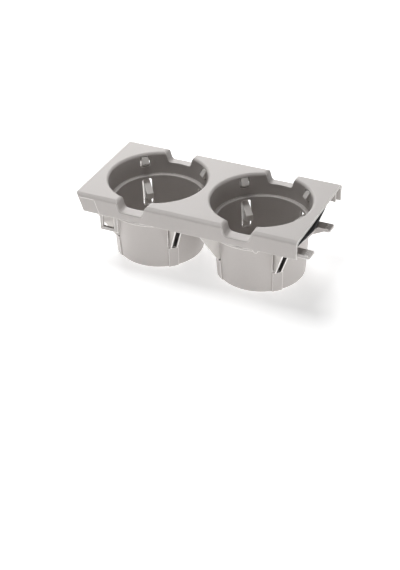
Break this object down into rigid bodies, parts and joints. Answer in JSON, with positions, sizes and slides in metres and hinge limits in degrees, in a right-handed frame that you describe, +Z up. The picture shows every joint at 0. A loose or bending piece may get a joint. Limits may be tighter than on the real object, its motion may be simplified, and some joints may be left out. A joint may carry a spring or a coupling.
{
  "type": "double cup holder",
  "caption": "Double cup holder insert for a car console: notched deck over round wells, with sprung arms that steady cups and rubber bands that return them.",
  "frame": {"origin": "on the surface the unit stands on, below the middle of its overall length and width", "axes": "+X along the deck towards the open end with the two tongues, +Y towards the back skirt, +Z up"},
  "size_m": [0.21, 0.102, 0.068],
  "materials": {
    "housing_plastic": "fine-grained matt warm grey moulding",
    "arm_plastic": "smooth satin warm grey moulding",
    "band_rubber": "black rubber, dull sheen"
  },
  "bodies": {
    "housing": {"bezel": "housing_plastic", "well_left": "housing_plastic", "well_right": "housing_plastic", "band_left": "band_rubber", "band_right": "band_rubber"},
    "arm_left_back_right": {"arm_left_back_right": "arm_plastic"},
    "arm_left_back_left": {"arm_left_back_left": "arm_plastic"},
    "arm_left_front_left": {"arm_left_front_left": "arm_plastic"},
    "arm_left_front_right": {"arm_left_front_right": "arm_plastic"},
    "arm_right_back_right": {"arm_right_back_right": "arm_plastic"},
    "arm_right_back_left": {"arm_right_back_left": "arm_plastic"},
    "arm_right_front_left": {"arm_right_front_left": "arm_plastic"},
    "arm_right_front_right": {"arm_right_front_right": "arm_plastic"}
  },
  "joints": [
    {"name": "swing_left_back_right", "type": "hinge", "parent": "housing", "child": "arm_left_back_right", "pos_m": [-0.02072, 0.03568, 0.0625], "axis": [0.7314, -0.682, 0], "range_deg": [0, 16], "stiffness_Nm_per_rad": 0.08, "springref_deg": -11.46, "deforming": ["band_left"]},
    {"name": "swing_left_back_left", "type": "hinge", "parent": "housing", "child": "arm_left_back_left", "pos_m": [-0.08503, 0.03568, 0.0625], "axis": [0.7314, 0.682, 0], "range_deg": [0, 16], "stiffness_Nm_per_rad": 0.08, "springref_deg": -11.46, "deforming": ["band_left"]},
    {"name": "swing_left_front_left", "type": "hinge", "parent": "housing", "child": "arm_left_front_left", "pos_m": [-0.08503, -0.03328, 0.0625], "axis": [-0.7314, 0.682, 0], "range_deg": [0, 16], "stiffness_Nm_per_rad": 0.08, "springref_deg": -11.46, "deforming": ["band_left"]},
    {"name": "swing_left_front_right", "type": "hinge", "parent": "housing", "child": "arm_left_front_right", "pos_m": [-0.02072, -0.03328, 0.0625], "axis": [-0.7314, -0.682, 0], "range_deg": [0, 16], "stiffness_Nm_per_rad": 0.08, "springref_deg": -11.46, "deforming": ["band_left"]},
    {"name": "swing_right_back_right", "type": "hinge", "parent": "housing", "child": "arm_right_back_right", "pos_m": [0.07483, 0.03568, 0.0625], "axis": [0.7314, -0.682, 0], "range_deg": [0, 16], "stiffness_Nm_per_rad": 0.08, "springref_deg": -11.46, "deforming": ["band_right"]},
    {"name": "swing_right_back_left", "type": "hinge", "parent": "housing", "child": "arm_right_back_left", "pos_m": [0.01052, 0.03568, 0.0625], "axis": [0.7314, 0.682, 0], "range_deg": [0, 16], "stiffness_Nm_per_rad": 0.08, "springref_deg": -11.46, "deforming": ["band_right"]},
    {"name": "swing_right_front_left", "type": "hinge", "parent": "housing", "child": "arm_right_front_left", "pos_m": [0.01052, -0.03328, 0.0625], "axis": [-0.7314, 0.682, 0], "range_deg": [0, 16], "stiffness_Nm_per_rad": 0.08, "springref_deg": -11.46, "deforming": ["band_right"]},
    {"name": "swing_right_front_right", "type": "hinge", "parent": "housing", "child": "arm_right_front_right", "pos_m": [0.07483, -0.03328, 0.0625], "axis": [-0.7314, -0.682, 0], "range_deg": [0, 16], "stiffness_Nm_per_rad": 0.08, "springref_deg": -11.46, "deforming": ["band_right"]}
  ]
}
